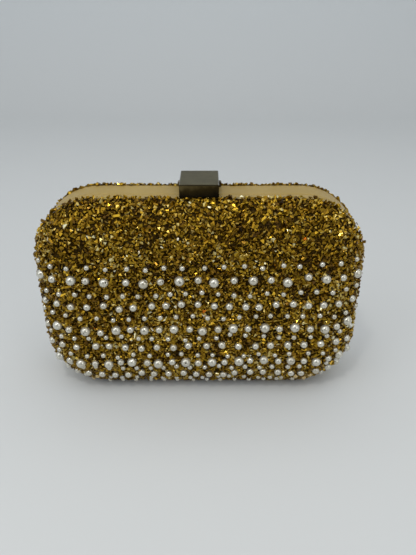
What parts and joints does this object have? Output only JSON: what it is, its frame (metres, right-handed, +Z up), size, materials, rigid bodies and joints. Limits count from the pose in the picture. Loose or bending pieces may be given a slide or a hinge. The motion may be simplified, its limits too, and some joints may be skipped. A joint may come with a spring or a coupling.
{
  "type": "evening bag",
  "caption": "Hard-case evening bag: two pillowed half shells covered in beads, hinged along the bottom, with a satin rim band and a lift-up clasp block on top.",
  "frame": {"origin": "on the surface the bag stands on, under the middle of the rims and of the width", "axes": "+Z up, +X along the bag's width to the right, -Y towards the front half"},
  "size_m": [0.195, 0.053, 0.1365],
  "materials": {
    "crystal_beadwork": "faceted amber and gold crystal chips sewn close together",
    "pearls": "pearl lustre",
    "hard_shell": "moulded, hidden under the beadwork",
    "lining_satin": "padded satin",
    "band_satin": "fine satin with a soft sheen",
    "frame_metal": "satin brass",
    "clasp_metal": "antiqued, brushed top and polished sides",
    "spring_steel": "plain"
  },
  "bodies": {
    "rear_half": {"rear_bead_cover": "crystal_beadwork", "rear_shell": "hard_shell", "rear_lining": "lining_satin", "rear_rim_band": "band_satin", "rear_frame": "frame_metal", "rear_hinge_leaves": "frame_metal", "rear_hinge_rivets": "frame_metal", "hinge_pins": "frame_metal", "clasp_bracket": "clasp_metal", "clasp_pin": "clasp_metal", "bracket_rivets": "frame_metal"},
    "front_half": {"front_bead_cover": "crystal_beadwork", "front_shell": "hard_shell", "front_lining": "lining_satin", "front_rim_band": "band_satin", "front_frame": "frame_metal", "front_hinge_leaves": "frame_metal", "front_hinge_rivets": "frame_metal", "catch_plate": "clasp_metal", "catch_rivets": "frame_metal"},
    "clasp": {"clasp_block": "clasp_metal", "clasp_tongue": "spring_steel", "tongue_rivet": "frame_metal"}
  },
  "joints": [
    {"name": "bag_open", "type": "hinge", "parent": "rear_half", "child": "front_half", "pos_m": [0, -0.0045, 0.0011], "axis": [1, 0, 0], "range_deg": [0, 35]},
    {"name": "clasp_lift", "type": "hinge", "parent": "rear_half", "child": "clasp", "pos_m": [0, 0.0096, 0.13], "axis": [-1, 0, 0], "range_deg": [0, 30]}
  ]
}
